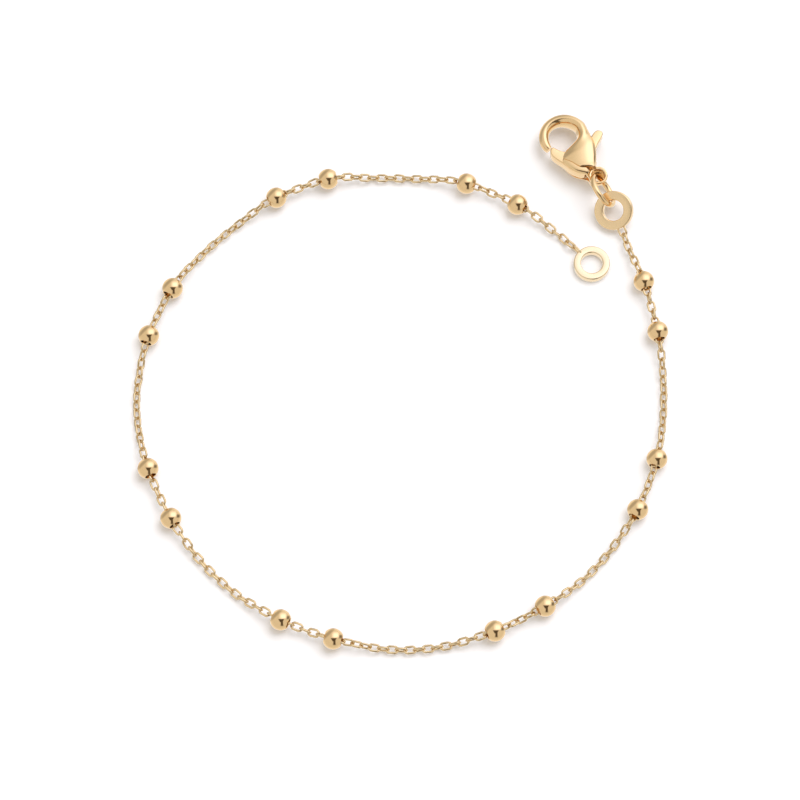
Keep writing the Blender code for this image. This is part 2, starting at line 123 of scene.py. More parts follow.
# Chain route, seen from above, in metres: bends and beads from the end ring's soldered link
# to the clasp ring's, and how far the links are rolled there: at 0 and 90 every other one lies
# flat, at 45 none does
RoutePoint = namedtuple("RoutePoint", "kind x y roll_deg")
ROUTE = [
    RoutePoint("bend", 0.01780, 0.01430, 20),
    RoutePoint("bend", 0.01485, 0.01680, 80),
    RoutePoint("bead", 0.01180, 0.01900, 75),
    RoutePoint("bead", 0.00665, 0.02130, 25),
    RoutePoint("bend", 0.00320, 0.02190, 5),
    RoutePoint("bend", -0.00010, 0.02210, 0),
    RoutePoint("bend", -0.00350, 0.02210, 0),
    RoutePoint("bead", -0.00740, 0.02180, 0),
    RoutePoint("bead", -0.01265, 0.01975, 5),
    RoutePoint("bend", -0.01540, 0.01785, 14),
    RoutePoint("bend", -0.01755, 0.01615, 18),
    RoutePoint("bend", -0.02015, 0.01365, 20),
    RoutePoint("bead", -0.02300, 0.00990, 30),
    RoutePoint("bead", -0.02530, 0.00480, 40),
    RoutePoint("bend", -0.02615, 0.00100, 45),
    RoutePoint("bend", -0.02640, -0.00205, 45),
    RoutePoint("bend", -0.02610, -0.00530, 45),
    RoutePoint("bead", -0.02510, -0.00930, 25),
    RoutePoint("bead", -0.02275, -0.01450, 15),
    RoutePoint("bend", -0.02055, -0.01780, 24),
    RoutePoint("bend", -0.01820, -0.02045, 28),
    RoutePoint("bend", -0.01555, -0.02270, 24),
    RoutePoint("bead", -0.01180, -0.02500, 10),
    RoutePoint("bead", -0.00665, -0.02695, 35),
    RoutePoint("bend", -0.00250, -0.02775, 80),
    RoutePoint("bend", 0.00150, -0.02790, 90),
    RoutePoint("bend", 0.00550, -0.02730, 90),
    RoutePoint("bead", 0.00920, -0.02615, 75),
    RoutePoint("bead", 0.01415, -0.02360, 25),
    RoutePoint("bend", 0.01685, -0.02170, 26),
    RoutePoint("bend", 0.01940, -0.01925, 30),
    RoutePoint("bend", 0.02165, -0.01640, 25),
    RoutePoint("bead", 0.02340, -0.01360, 38),
    RoutePoint("bead", 0.02540, -0.00830, 42),
    RoutePoint("bend", 0.02600, -0.00510, 45),
    RoutePoint("bend", 0.02625, -0.00160, 45),
    RoutePoint("bend", 0.02615, 0.00190, 25),
    RoutePoint("bead", 0.02575, 0.00525, 5),
    RoutePoint("bead", 0.02445, 0.01065, 10),
    RoutePoint("bend", 0.02315, 0.01400, 15),
    RoutePoint("bend", 0.02240, 0.01625, 20),
]
ROUTE_STEPS = 24

# Chain and beads
LINK_PITCH = 0.88 * MM
LINK_WIRE = 0.235 * MM
LINK_LENGTH = LINK_PITCH + 2 * LINK_WIRE
LINK_WIDTH = 0.92 * MM
LINK_SIDES = 16
LINK_WIRE_SIDES = 6
LINK_ROLL_DEG = 9.0
LINK_ROLL_SCALE = 110.0
LINK_ROLL_GAIN = 4
LINK_SWAY_DEG = 4.0
LINK_SEED = 7
CHAIN_LOW = 0.48 * MM  # height of the chain's middle where it lies on the floor
CHAIN_HOLD = 1.30 * MM  # held level this far from a bead's middle
CHAIN_FALL = 4.00 * MM
END_RING_LINK_HEIGHT = 0.50 * MM
CLASP_RING_LINK_HEIGHT = 0.75 * MM
BEAD_DIAMETER = 2.10 * MM
BEAD_BORE = 1.10 * MM
BEAD_RIM_ROUND = 0.06 * MM
BEAD_SIDES = 64
BEAD_ARC_STEPS = 28
BORE_STEPS = 4
BEAD_AXIS_ROWS = 3  # a bead's axis is read from the route this many rows before and after it

# Rings: flat washers with a chain link soldered into the rim
END_RING_TURN_DEG = -46.0
END_RING_DIAMETER = 3.65 * MM
END_RING_HOLE = 2.20 * MM
END_RING_THICKNESS = 0.75 * MM
CLASP_RING_TURN_DEG = 112.5
CLASP_RING_DIAMETER = 3.95 * MM
CLASP_RING_HOLE = 2.10 * MM
CLASP_RING_THICKNESS = 0.75 * MM
CLASP_RING_NORMAL = Vector((-0.28, -0.34, 0.90))
RING_EDGE_ROUND = 0.12 * MM
RING_SIDES = 128
ROUND_STEPS = 5
LINK_OVERHANG = 0.28 * MM
FLOOR_GAP = 0.02 * MM

# Jump ring: round wire through the clasp's eye and the clasp ring
JUMP_RING_REACH = 2.26 * MM
JUMP_RING_REACH_TURN_DEG = 119.4
JUMP_RING_DIAMETER = 3.90 * MM
JUMP_RING_WIRE = 0.58 * MM
JUMP_RING_TURN_DEG = -66.0
JUMP_RING_LEAN_DEG = 58.0
JUMP_RING_SIDES = 96
JUMP_RING_WIRE_SIDES = 28

# Clasp, in its own frame: origin at the eye's centre, across, along towards the hook, and up
CLASP_REACH = 1.79 * MM
CLASP_REACH_TURN_DEG = 104.9
CLASP_TURN_DEG = 25.0
CLASP_HEIGHT = 2.70 * MM
HOOK_OFFSET = -1.33 * MM
HOOK_RADIUS = 2.00 * MM
HOOK_WIDTH = 1.20 * MM
BODY_LENGTH = 5.29 * MM  # from the eye to the middle of the hook
BODY_WIDTH = 3.60 * MM
HOOK_POWER = 2.0
BODY_POWER = 2.0
STATION_STEPS = 6

# Hook from its tip round to the root: radius a share of HOOK_RADIUS, width of HOOK_WIDTH,
# height of CLASP_HEIGHT
HookStation = namedtuple("HookStation", "angle_deg radius width height")
HOOK = [
    HookStation(197, 1.00, 0.60, 0.36),
    HookStation(190, 1.00, 0.70, 0.41),
    HookStation(178, 1.00, 0.79, 0.45),
    HookStation(160, 1.00, 0.84, 0.48),
    HookStation(140, 1.00, 0.86, 0.51),
    HookStation(120, 0.98, 0.88, 0.55),
    HookStation(100, 0.96, 0.91, 0.60),
    HookStation(80, 0.94, 0.94, 0.67),
    HookStation(60, 0.93, 0.98, 0.75),
    HookStation(40, 0.94, 0.99, 0.82),
    HookStation(20, 0.97, 1.00, 0.88),
    HookStation(5, 1.00, 1.03, 0.91),
]

# Body from the hook's root down to the neck: along a share of BODY_LENGTH; left, right and
# ridge of BODY_WIDTH; height and crease (the dome's height at its left edge) of CLASP_HEIGHT;
# dome from 0, a plain rounded section, to 1, a ridge that falls away to a sharp left edge
BodyStation = namedtuple("BodyStation", "along left right ridge height crease dome")
BODY = [
    BodyStation(0.930, -0.005, 0.350, 0.180, 0.93, 0.80, 0.00),
    BodyStation(0.870, -0.045, 0.348, 0.165, 0.945, 0.80, 0.06),
    BodyStation(0.810, -0.140, 0.343, 0.145, 0.96, 0.80, 0.26),
    BodyStation(0.755, -0.310, 0.335, 0.115, 0.975, 0.79, 0.58),
    BodyStation(0.690, -0.510, 0.325, 0.070, 0.985, 0.79, 0.87),
    BodyStation(0.620, -0.640, 0.310, 0.020, 0.995, 0.80, 1.00),
    BodyStation(0.554, -0.689, 0.289, -0.030, 1.00, 0.85, 1.00),
    BodyStation(0.480, -0.615, 0.255, -0.075, 1.00, 0.90, 1.00),
    BodyStation(0.414, -0.539, 0.220, -0.115, 1.00, 0.93, 1.00),
    BodyStation(0.340, -0.475, 0.175, -0.145, 1.00, 0.95, 1.00),
    BodyStation(0.267, -0.405, 0.120, -0.165, 1.00, 0.965, 1.00),
    BodyStation(0.230, -0.320, 0.090, -0.150, 1.00, 0.97, 1.00),
    BodyStation(0.197, -0.230, 0.060, -0.110, 1.00, 0.975, 1.00),
    BodyStation(0.165, -0.150, 0.035, -0.070, 0.995, 0.975, 1.00),
    BodyStation(0.138, -0.089, 0.015, -0.040, 0.99, 0.97, 1.00),
]
RIDGE_POWER = 1.8
SHOULDER_POWER = 2.0
RIGHT_EDGE = 0.62  # height of the sharp right edge, a share of the ridge's height
RIGHT_FLARE = 0.14 * MM
SECTION_POINTS = 33  # of a section's upper half; the next three share out those of the dome
WALL_POINTS = 4
SHOULDER_END = 11
LEFT_EDGE_POINTS = 4

# Lobe below the dome's left edge, from the left tip to the eye: shares of BODY_LENGTH,
# heights of CLASP_HEIGHT
LobeStation = namedtuple("LobeStation", "in_across in_along out_across out_along top edge floor")
LOBE = [
    LobeStation(-0.430, 0.568, -0.466, 0.566, 0.80, 0.79, 0.745),
    LobeStation(-0.405, 0.530, -0.505, 0.520, 0.84, 0.79, 0.745),
    LobeStation(-0.330, 0.435, -0.482, 0.420, 0.87, 0.79, 0.745),
    LobeStation(-0.245, 0.320, -0.440, 0.310, 0.88, 0.79, 0.745),
    LobeStation(-0.180, 0.220, -0.375, 0.205, 0.88, 0.79, 0.745),
    LobeStation(-0.155, 0.145, -0.285, 0.130, 0.87, 0.79, 0.745),
    LobeStation(-0.160, 0.100, -0.232, 0.085, 0.85, 0.78, 0.745),
    LobeStation(-0.165, 0.060, -0.208, 0.045, 0.80, 0.74, 0.66),
    LobeStation(-0.168, 0.000, -0.190, -0.008, 0.71, 0.67, 0.60),
    LobeStation(-0.160, -0.070, -0.172, -0.075, 0.66, 0.63, 0.60),
]

EYE_DIAMETER = 1.95 * MM
EYE_HOLE = 1.38 * MM
EYE_THICKNESS = 0.65 * MM
EYE_ROUND = 0.14 * MM
EYE_SIDES = 72

# Neck: sectors of flat rings about the eye, on the body's side, sizes in millimetres: a deep wall,
# and a shelf that closes that half from below
NeckSector = namedtuple("NeckSector", "hole width floor top start_deg end_deg")
NECK_WALL = NeckSector(1.41, 1.90, -0.95, 0.30, -20, 215)
NECK_SHELF = NeckSector(0.10, 1.60, -0.93, -0.75, -15, 210)
NECK_STEPS = 40

# Slot for the lever, through the body from side to side: shares of BODY_LENGTH
SlotCorner = namedtuple("SlotCorner", "across along")
SLOT_HEIGHT = 1.50 * MM
SLOT = [
    SlotCorner(-0.79, 0.02),
    SlotCorner(-0.19, 0.02),
    SlotCorner(-0.15, 0.23),
    SlotCorner(0.04, 0.23),
    SlotCorner(0.40, 0.35),
    SlotCorner(0.40, 0.90),
    SlotCorner(0.19, 0.82),
    SlotCorner(0.00, 0.75),
    SlotCorner(-0.10, 0.84),
    SlotCorner(-0.53, 0.84),
    SlotCorner(-0.79, 0.72),
]

# Lever: beak, hub and thumb tab in one plate, corners as shares of BODY_LENGTH
LEVER_THICKNESS = 1.30 * MM
LEVER_EDGE_ROUND = 0.12 * MM
LEVER_CURVE_STEPS = 6
LeverCorner = namedtuple("LeverCorner", "across along")
LEVER = [
    LeverCorner(-0.535, 0.858),
    LeverCorner(-0.595, 0.852),
    LeverCorner(-0.634, 0.790),
    LeverCorner(-0.632, 0.700),
    LeverCorner(-0.580, 0.590),
    LeverCorner(-0.510, 0.465),
    LeverCorner(-0.435, 0.300),
    LeverCorner(-0.340, 0.180),
    LeverCorner(-0.235, 0.110),
    LeverCorner(-0.205, 0.145),
    LeverCorner(-0.185, 0.240),
    LeverCorner(-0.080, 0.290),
    LeverCorner(0.070, 0.395),
    LeverCorner(0.210, 0.510),
    LeverCorner(0.270, 0.570),
    LeverCorner(0.370, 0.645),
    LeverCorner(0.442, 0.710),
    LeverCorner(0.455, 0.765),
    LeverCorner(0.412, 0.815),
    LeverCorner(0.343, 0.828),
    LeverCorner(0.250, 0.780),
    LeverCorner(0.060, 0.630),
    LeverCorner(-0.110, 0.545),
    LeverCorner(-0.240, 0.590),
    LeverCorner(-0.363, 0.680),
    LeverCorner(-0.460, 0.760),
]

SMOOTH_ANGLE_DEG = 32.0

# Finishes of the gold: its tint, how rough it is and how strong its grain is
GoldFinish = namedtuple("GoldFinish", "tint roughness grain")
POLISHED = GoldFinish((0.88, 0.615, 0.32), 0.07, 0.05)
CAST = GoldFinish((0.88, 0.615, 0.32), 0.15, 0.1)
PALE = GoldFinish((0.90, 0.70, 0.44), 0.14, 0.1)
SATIN = GoldFinish((0.94, 0.69, 0.39), 0.22, 0.3)
DRAWN = GoldFinish((0.79, 0.585, 0.32), 0.12, 0.1)
TINT_DRIFT_SCALE = 600.0
TINT_DRIFT_DETAIL = 2.0
TINT_DRIFT = (0.97, 1.03)
GRAIN_SCALE = 9000.0
GRAIN_DETAIL = 3.0
GLOSS_DRIFT = (0.8, 1.3)
GRAIN_DEPTH = 0.002 * MM


def add_piece(name, mesh, material):
    item = bpy.data.objects.new(name, mesh)
    bpy.context.scene.collection.objects.link(item)
    item.data.materials.clear()
    item.data.materials.append(material)
    return item


def plain_mesh(name, points, faces):
    """Mesh of the given points and faces, every face turned outwards."""
    mesh = bpy.data.meshes.new(name)
    mesh.from_pydata([tuple(p) for p in points], [], faces)
    work = bmesh.new()
    work.from_mesh(mesh)
    bmesh.ops.recalc_face_normals(work, faces=work.faces)
    work.to_mesh(mesh)
    work.free()
    return mesh


def smooth(mesh):
    mesh.shade_smooth()
    mesh.set_sharp_from_angle(angle=radians(SMOOTH_ANGLE_DEG))


def frame_at(spot, along, normal):
    """Axes at a place: X as near to along as the normal, which is Z, lets it be."""
    up = normal.normalized()
    side = up.cross(along).normalized()
    ahead = side.cross(up)
    axes = Matrix((ahead, side, up)).transposed().to_4x4()
    return Matrix.Translation(spot) @ axes


def heading(turn_deg):
    """Level unit vector at an angle from +X."""
    return Vector((cos(radians(turn_deg)), sin(radians(turn_deg)), 0))


def revolved(name, profile, sides, frame):
    """Solid of revolution of a closed (radius, height) profile about the frame's Z axis."""
    count = len(profile)
    points = []
    faces = []
    for step in range(sides):
        angle = 2 * pi * step / sides
        for radius, height in profile:
            points.append(frame @ Vector((radius * cos(angle), radius * sin(angle), height)))
    for step in range(sides):
        here = step * count
        there = (step + 1) % sides * count
        for row in range(count):
            after = (row + 1) % count
            faces.append((here + row, there + row, there + after, here + after))
    return plain_mesh(name, points, faces)


def lofted(name, sections):
    """Closed solid through equal rings of points, both ends capped."""
    sides = len(sections[0])
    points = [p for section in sections for p in section]
    faces = []
    for ring in range(len(sections) - 1):
        start = ring * sides
        for side in range(sides):
            after = (side + 1) % sides
            faces.append((start + side, start + after, start + sides + after, start + sides + side))
    faces.append(tuple(range(sides)))
    faces.append(tuple(range(len(points) - sides, len(points))))
    return plain_mesh(name, points, faces)


def combined(mesh, other, operation):
    """The mesh with the other one joined or cut into it."""
    first = bpy.data.objects.new("first", mesh)
    second = bpy.data.objects.new("second", other)
    bpy.context.scene.collection.objects.link(first)
    bpy.context.scene.collection.objects.link(second)
    step = first.modifiers.new(operation, "BOOLEAN")
    step.operation = operation
    step.solver = "EXACT"
    step.object = second
    graph = bpy.context.evaluated_depsgraph_get()
    result = bpy.data.meshes.new_from_object(first.evaluated_get(graph))
    bpy.data.objects.remove(first)
    bpy.data.objects.remove(second)
    return result


def between(rows, steps):
    """Rows of a table with smooth rows in between (uniform Catmull-Rom)."""
    kind = type(rows[0])
    padded = [rows[0]] + list(rows) + [rows[-1]]
    result = []
    for place in range(1, len(padded) - 2):
        p0, p1, p2, p3 = padded[place - 1 : place + 3]
        for step in range(steps):
            t = step / steps
            values = []
            for a, b, c, d in zip(p0, p1, p2, p3):
                linear = c - a
                square = 2 * a - 5 * b + 4 * c - d
                cube = 3 * b - a - 3 * c + d
                values.append(b + t / 2 * (linear + t * (square + t * cube)))
            result.append(kind(*values))
    result.append(rows[-1])
    return result


def chain_path():
    """Route through every point (centripetal Catmull-Rom), rolls, distances and beads' places."""
    spots = [Vector((row.x, row.y, 0)) for row in ROUTE]
    spots = [2 * spots[0] - spots[1]] + spots + [2 * spots[-1] - spots[-2]]
    line = []
    rolls = []
    bead_rows = []
    for row in range(1, len(spots) - 2):
        p0, p1, p2, p3 = spots[row - 1 : row + 3]
        t1 = (p1 - p0).length ** 0.5
        t2 = t1 + (p2 - p1).length ** 0.5
        t3 = t2 + (p3 - p2).length ** 0.5
        if ROUTE[row - 1].kind == "bead":
            bead_rows.append(len(line))
        for step in range(ROUTE_STEPS):
            t = t1 + (t2 - t1) * step / ROUTE_STEPS
            a1 = p0 * ((t1 - t) / t1) + p1 * (t / t1)
            a2 = p1 * ((t2 - t) / (t2 - t1)) + p2 * ((t - t1) / (t2 - t1))
            a3 = p2 * ((t3 - t) / (t3 - t2)) + p3 * ((t - t2) / (t3 - t2))
            b1 = a1 * ((t2 - t) / t2) + a2 * (t / t2)
            b2 = a2 * ((t3 - t) / (t3 - t1)) + a3 * ((t - t1) / (t3 - t1))
            line.append(b1 * ((t2 - t) / (t2 - t1)) + b2 * ((t - t1) / (t2 - t1)))
            share = step / ROUTE_STEPS
            roll = ROUTE[row - 1].roll_deg * (1 - share) + ROUTE[row].roll_deg * share
            rolls.append(radians(roll))
    line.append(spots[-2])
    rolls.append(radians(ROUTE[-1].roll_deg))
    distances = [0.0]
    for before, after in zip(line, line[1:]):
        distances.append(distances[-1] + (after - before).length)
    held = [(distances[row], BEAD_DIAMETER / 2, CHAIN_HOLD) for row in bead_rows]
    held.append((distances[0], END_RING_LINK_HEIGHT, 0))
    held.append((distances[-1], CLASP_RING_LINK_HEIGHT, 0))
    for spot, distance in zip(line, distances):
        spot.z = chain_height(distance, held)
    return line, rolls, distances, bead_rows


def chain_height(distance, held):
    """Height of the chain's middle: on the floor, but for where something holds it up."""
    height = CHAIN_LOW
    for place, high, level in held:
        share = min(1.0, max(0.0, (abs(distance - place) - level) / CHAIN_FALL))
        height = max(height, high + (CHAIN_LOW - high) * share * share * (3 - 2 * share))
    return height


def link_tree():
    """Geometry nodes: oval wire links along a curve, each turned a quarter from the last."""
    tree = bpy.data.node_groups.new("cable_chain", "GeometryNodeTree")
    face = tree.interface
    face.new_socket("Route", in_out="INPUT", socket_type="NodeSocketGeometry")
    face.new_socket("Links", in_out="INPUT", socket_type="NodeSocketInt")
    for name in ("Link length", "Link width", "Wire", "Roll", "Roll scale", "Sway"):
        face.new_socket(name, in_out="INPUT", socket_type="NodeSocketFloat")
    face.new_socket("Seed", in_out="INPUT", socket_type="NodeSocketInt")
    face.new_socket("Gold", in_out="INPUT", socket_type="NodeSocketMaterial")
    face.new_socket("Chain", in_out="OUTPUT", socket_type="NodeSocketGeometry")
    given = add_node(tree, "NodeGroupInput")

    index = add_node(tree, "GeometryNodeInputIndex").outputs[0]
    noise = add_node(tree, "ShaderNodeTexNoise", noise_dimensions="4D")
    tree.links.new(given.outputs["Roll scale"], noise.inputs["Scale"])
    tree.links.new(given.outputs["Seed"], noise.inputs["W"])
    centred = maths(tree, "SUBTRACT", noise.outputs[0], 0.5)
    roll = maths(tree, "MULTIPLY", centred, given.outputs["Roll"])
    quarter = maths(tree, "MULTIPLY", index, pi / 2)
    points_wanted = maths(tree, "ADD", given.outputs["Links"], 2)

    even = add_node(tree, "GeometryNodeResampleCurve")
    tree.links.new(given.outputs["Route"], even.inputs["Curve"])
    tree.links.new(points_wanted, even.inputs["Count"])
    upright = add_node(tree, "GeometryNodeSetCurveNormal", mode="Z_UP")
    tree.links.new(even.outputs[0], upright.inputs["Curve"])
    tilted = add_node(tree, "GeometryNodeSetCurveTilt")
    tree.links.new(upright.outputs[0], tilted.inputs["Curve"])
    laid_roll = add_node(tree, "GeometryNodeInputCurveTilt").outputs[0]
    turn = maths(tree, "ADD", quarter, maths(tree, "ADD", roll, laid_roll))
    tree.links.new(turn, tilted.inputs["Tilt"])
    spots = add_node(tree, "GeometryNodeCurveToPoints", mode="EVALUATED")
    tree.links.new(tilted.outputs[0], spots.inputs["Curve"])
    ends = add_node(tree, "GeometryNodeDeleteGeometry", domain="POINT")
    before = maths(tree, "LESS_THAN", index, 0.5)
    last = maths(tree, "ADD", given.outputs["Links"], 0.5)
    after = maths(tree, "GREATER_THAN", index, last)
    tree.links.new(spots.outputs["Points"], ends.inputs["Geometry"])
    tree.links.new(maths(tree, "ADD", before, after), ends.inputs["Selection"])

    lying = add_node(tree, "FunctionNodeAlignRotationToVector", axis="X")
    tree.links.new(spots.outputs["Tangent"], lying.inputs["Vector"])
    turned = add_node(tree, "FunctionNodeAlignRotationToVector", axis="Z", pivot_axis="X")
    tree.links.new(lying.outputs[0], turned.inputs["Rotation"])
    tree.links.new(spots.outputs["Normal"], turned.inputs["Vector"])
    sway = add_node(tree, "FunctionNodeRandomValue", data_type="FLOAT_VECTOR")
    least = maths(tree, "MULTIPLY", given.outputs["Sway"], -1.0)
    tree.links.new(least, sway.inputs["Min"])
    tree.links.new(given.outputs["Sway"], sway.inputs["Max"])
    tree.links.new(given.outputs["Seed"], sway.inputs["Seed"])
    swayed = add_node(tree, "FunctionNodeRotateRotation", rotation_space="LOCAL")
    tree.links.new(turned.outputs[0], swayed.inputs["Rotation"])
    tree.links.new(sway.outputs[0], swayed.inputs["Rotate By"])

    laid = add_node(tree, "GeometryNodeInstanceOnPoints")
    tree.links.new(ends.outputs[0], laid.inputs["Points"])
    tree.links.new(oval_link(tree, given), laid.inputs["Instance"])
    tree.links.new(swayed.outputs[0], laid.inputs["Rotation"])
    real = add_node(tree, "GeometryNodeRealizeInstances")
    tree.links.new(laid.outputs[0], real.inputs[0])
    soft = add_node(tree, "GeometryNodeSetShadeSmooth")
    tree.links.new(real.outputs[0], soft.inputs["Geometry"])
    gilded = add_node(tree, "GeometryNodeSetMaterial")
    tree.links.new(soft.outputs[0], gilded.inputs["Geometry"])
    tree.links.new(given.outputs["Gold"], gilded.inputs["Material"])
    made = add_node(tree, "NodeGroupOutput")
    tree.links.new(gilded.outputs[0], made.inputs["Chain"])
    return tree


def oval_link(tree, given):
    """Nodes of one link: a circle of wire pulled out along X."""
    width = maths(tree, "SUBTRACT", given.outputs["Link width"], given.outputs["Wire"])
    bend = maths(tree, "MULTIPLY", width, 0.5)
    spare = maths(tree, "SUBTRACT", given.outputs["Link length"], given.outputs["Link width"])
    half_straight = maths(tree, "MULTIPLY", spare, 0.5)
    loop = add_node(tree, "GeometryNodeCurvePrimitiveCircle", mode="RADIUS")
    loop.inputs["Resolution"].default_value = LINK_SIDES
    tree.links.new(bend, loop.inputs["Radius"])
    place = add_node(tree, "GeometryNodeInputPosition").outputs[0]
    parts = add_node(tree, "ShaderNodeSeparateXYZ")
    tree.links.new(place, parts.inputs[0])
    side = maths(tree, "SIGN", parts.outputs["X"])
    shift = add_node(tree, "ShaderNodeCombineXYZ")
    tree.links.new(maths(tree, "MULTIPLY", side, half_straight), shift.inputs["X"])
    pulled = add_node(tree, "GeometryNodeSetPosition")
    tree.links.new(loop.outputs["Curve"], pulled.inputs["Geometry"])
    tree.links.new(shift.outputs[0], pulled.inputs["Offset"])
    wire = add_node(tree, "GeometryNodeCurvePrimitiveCircle", mode="RADIUS")
    wire.inputs["Resolution"].default_value = LINK_WIRE_SIDES
    tree.links.new(maths(tree, "MULTIPLY", given.outputs["Wire"], 0.5), wire.inputs["Radius"])
    drawn = add_node(tree, "GeometryNodeCurveToMesh")
    tree.links.new(pulled.outputs[0], drawn.inputs["Curve"])
    tree.links.new(wire.outputs["Curve"], drawn.inputs["Profile Curve"])
    return drawn.outputs["Mesh"]


def add_node(tree, kind, **settings):
    node = tree.nodes.new(kind)
    for name, value in settings.items():
        setattr(node, name, value)
    return node


def maths(tree, operation, first, second=None):
    """Output of a math node fed by sockets or plain numbers."""
    node = add_node(tree, "ShaderNodeMath", operation=operation)
    for socket, value in zip(node.inputs, (first, second)):
        if isinstance(value, (int, float)):
            socket.default_value = value
        elif value is not None:
            tree.links.new(value, socket)
    return node.outputs[0]


def make_chain(line, rolls, distances, gold):
    data = bpy.data.curves.new("route", "CURVE")
    data.dimensions = "3D"
    spline = data.splines.new("POLY")
    spline.points.add(len(line) - 1)
    for point, spot, roll in zip(spline.points, line, rolls):
        point.co = (*spot, 1)
        point.tilt = roll
    route = bpy.data.objects.new("route", data)
    bpy.context.scene.collection.objects.link(route)
    gaps = round(distances[-1] / LINK_PITCH / 2 - 0.5) * 2 + 1
    sizes = {
        "Links": gaps - 1,
        "Link length": LINK_LENGTH,
        "Link width": LINK_WIDTH,
        "Wire": LINK_WIRE,
        "Roll": radians(LINK_ROLL_DEG) * LINK_ROLL_GAIN,
        "Roll scale": LINK_ROLL_SCALE,
        "Sway": radians(LINK_SWAY_DEG),
        "Seed": LINK_SEED,
        "Gold": gold,
    }
    links = route.modifiers.new("links", "NODES")
    links.node_group = link_tree()
    for item in links.node_group.interface.items_tree:
        if item.name in sizes:
            links[item.identifier] = sizes[item.name]
    graph = bpy.context.evaluated_depsgraph_get()
    mesh = bpy.data.meshes.new_from_object(route.evaluated_get(graph))
    bpy.data.objects.remove(route)
    chain = add_piece("chain_links", mesh, gold)
    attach(chain, "bracelet")
    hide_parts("chain")


def bead_profile():
    """Half section of a drilled ball: its skin, rounded rims and bore."""
    radius = BEAD_DIAMETER / 2
    bore = BEAD_BORE / 2
    rim = bore + BEAD_RIM_ROUND
    half = (radius * radius - rim * rim) ** 0.5
    start = acos(rim / radius)
    profile = []
    for step in range(BEAD_ARC_STEPS + 1):
        angle = start - 2 * start * step / BEAD_ARC_STEPS
        profile.append((radius * cos(angle), radius * sin(angle)))
    for step in range(1, ROUND_STEPS + 1):
        angle = pi / 2 * step / ROUND_STEPS
        profile.append((rim - BEAD_RIM_ROUND * sin(angle), BEAD_RIM_ROUND * (1 - cos(angle)) - half))
    inner = half - BEAD_RIM_ROUND
    for step in range(1, BORE_STEPS):
        profile.append((bore, inner * (2 * step / BORE_STEPS - 1)))
    for step in range(ROUND_STEPS):
        angle = pi / 2 * step / ROUND_STEPS
        profile.append((rim - BEAD_RIM_ROUND * cos(angle), half - BEAD_RIM_ROUND * (1 - sin(angle))))
    return profile


def make_beads(line, bead_rows, gold):
    profile = bead_profile()
    for number, row in enumerate(bead_rows, start=1):
        low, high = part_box(f"bead_{number:02d}")
        axis = line[row + BEAD_AXIS_ROWS] - line[row - BEAD_AXIS_ROWS]
        frame = frame_at((low + high) / 2, Vector((0, 0, 1)), axis)
        mesh = revolved(f"ball_{number:02d}", profile, BEAD_SIDES, frame)
        smooth(mesh)
        ball = add_piece(f"ball_{number:02d}", mesh, gold)
        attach(ball, "bracelet")
        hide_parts(f"bead_{number:02d}")


def washer_profile(outer, inner, thickness, edge):
    """Closed profile of a flat ring with rounded edges."""
    high = thickness / 2
    corners = [
        (outer / 2 - edge, high - edge, 90),
        (outer / 2 - edge, edge - high, 0),
        (inner / 2 + edge, edge - high, -90),
        (inner / 2 + edge, high - edge, -180),
    ]
    profile = []
    for radius, height, start_deg in corners:
        for step in range(ROUND_STEPS + 1):
            angle = radians(start_deg - 90 * step / ROUND_STEPS)
            profile.append((radius + edge * cos(angle), height + edge * sin(angle)))
    return profile


def soldered_link(frame):
    """One oval link, its length along the frame's X and its plane on the frame's Z."""
    reach = (LINK_LENGTH - LINK_WIRE) / 2
    half = (LINK_WIDTH - LINK_WIRE) / 2
    sides = LINK_SIDES * 2
    wire_sides = LINK_WIRE_SIDES * 2
    points = []
    faces = []
    for step in range(sides):
        angle = 2 * pi * (step + 0.5) / sides
        outward = Vector((cos(angle), sin(angle), 0))
        middle = Vector((outward.x * half, outward.y * half, 0))
        middle.x += (reach - half) * (1 if outward.x >= 0 else -1)
        for turn in range(wire_sides):
            around = 2 * pi * turn / wire_sides
            spot = middle + outward * LINK_WIRE / 2 * cos(around)
            spot.z += LINK_WIRE / 2 * sin(around)
            points.append(frame @ spot)
    for step in range(sides):
        here = step * wire_sides
        there = (step + 1) % sides * wire_sides
        for turn in range(wire_sides):
            after = (turn + 1) % wire_sides
            faces.append((here + turn, there + turn, there + after, here + after))
    return plain_mesh("soldered_link", points, faces)


def gild_link(ring, centre, radius, gold):
    """The chain's gold on what stands out of a ring's rim."""
    ring.data.materials.append(gold)
    for face in ring.data.polygons:
        if (face.center - centre).length > radius:
            face.material_index = 1


def make_end_ring(gold, link_gold):
    reach = END_RING_DIAMETER / 2 + LINK_OVERHANG
    outward = -heading(END_RING_TURN_DEG)
    start = Vector((ROUTE[0].x, ROUTE[0].y, 0))
    centre = start - outward * reach + Vector((0, 0, END_RING_THICKNESS / 2))
    profile = washer_profile(END_RING_DIAMETER, END_RING_HOLE, END_RING_THICKNESS, RING_EDGE_ROUND)
    washer = revolved("end_washer", profile, RING_SIDES, Matrix.Translation(centre))
    middle = centre + outward * reach
    middle.z = END_RING_LINK_HEIGHT
    link = soldered_link(frame_at(middle, outward, outward.cross(Vector((0, 0, 1)))))
    mesh = combined(washer, link, "UNION")
    smooth(mesh)
    ring = add_piece("end_washer", mesh, gold)
    gild_link(ring, centre, (END_RING_DIAMETER + END_RING_THICKNESS / 2) / 2, link_gold)
    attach(ring, "bracelet")
    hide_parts("end_ring")


